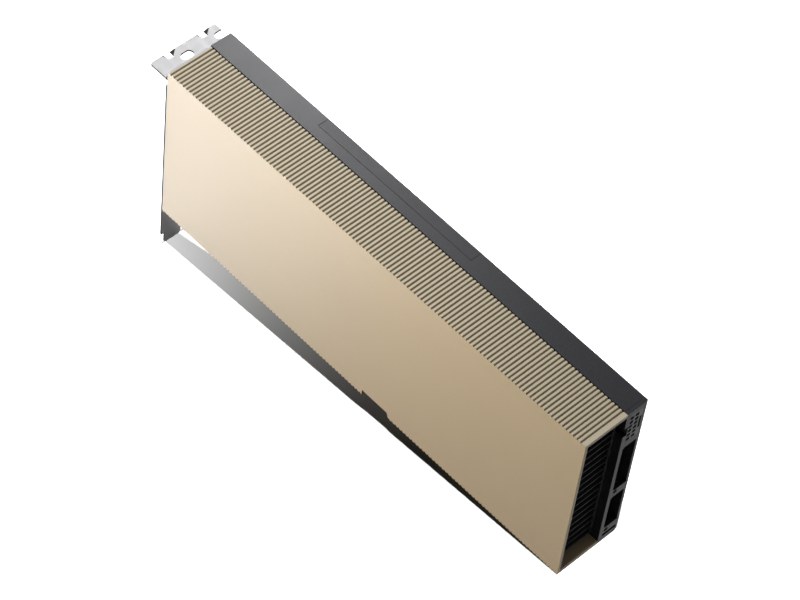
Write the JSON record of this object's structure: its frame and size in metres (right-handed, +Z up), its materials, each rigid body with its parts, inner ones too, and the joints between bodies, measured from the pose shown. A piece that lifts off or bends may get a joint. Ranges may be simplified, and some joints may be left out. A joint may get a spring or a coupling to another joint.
{
  "type": "passive accelerator card",
  "caption": "Fanless two-slot accelerator card: ribbed gold channel shroud over fins, black back cover, slot bracket, edge contacts and rear power socket.",
  "frame": {"origin": "middle of the card's length and depth, at the level of the bracket's tab tips", "axes": "+X from the bracket to the rear end, +Y from the gold front face to the black back, +Z up to the ribbed edge"},
  "size_m": [0.2788, 0.0388, 0.1248],
  "materials": {
    "gold_paint": "satin champagne gold anodising",
    "fin_aluminium": "dark anodised fin",
    "chamber_copper": "blackened copper vapour chamber",
    "black_casting": "fine matt black coating",
    "black_paint": "fine matt black coating",
    "lid_plastic": "matt black moulding",
    "board_laminate": "green solder mask",
    "package_laminate": "green package laminate",
    "silicon": "polished silicon",
    "package_ring": "plated ring",
    "choke_moulding": "moulded iron powder",
    "chip_moulding": "black moulding",
    "pad_silicone": "soft grey pad",
    "capacitor_can": "bright can",
    "capacitor_ceramic": "ceramic with tinned ends",
    "spring_steel": "bare spring steel",
    "film": "thin black polyester film",
    "header_plastic": "black nylon",
    "pin_plating": "gold flash",
    "black_screw": "black oxide",
    "plain_screw": "nickel plate",
    "bracket_plating": "zinc plated sheet"
  },
  "bodies": {
    "root": {"front_shroud": "gold_paint", "cooling_fins": "fin_aluminium", "heat_spreader": "chamber_copper", "base_frame": "black_casting", "back_cover": "black_paint", "link_lid": "lid_plastic", "circuit_board": "board_laminate", "gpu_substrate": "package_laminate", "gpu_die": "silicon", "memory_stacks": "silicon", "package_ring": "package_ring", "chokes": "choke_moulding", "power_stages": "chip_moulding", "thermal_pads": "pad_silicone", "filter_capacitors": "capacitor_can", "control_chips": "chip_moulding", "bypass_capacitors": "capacitor_ceramic", "spring_plate": "spring_steel", "insulating_film": "film", "power_header": "header_plastic", "power_pins": "pin_plating", "cover_screws": "black_screw", "shroud_screws": "black_screw", "retention_screws": "plain_screw", "bracket_screws": "black_screw", "io_bracket": "bracket_plating"}
  },
  "joints": []
}
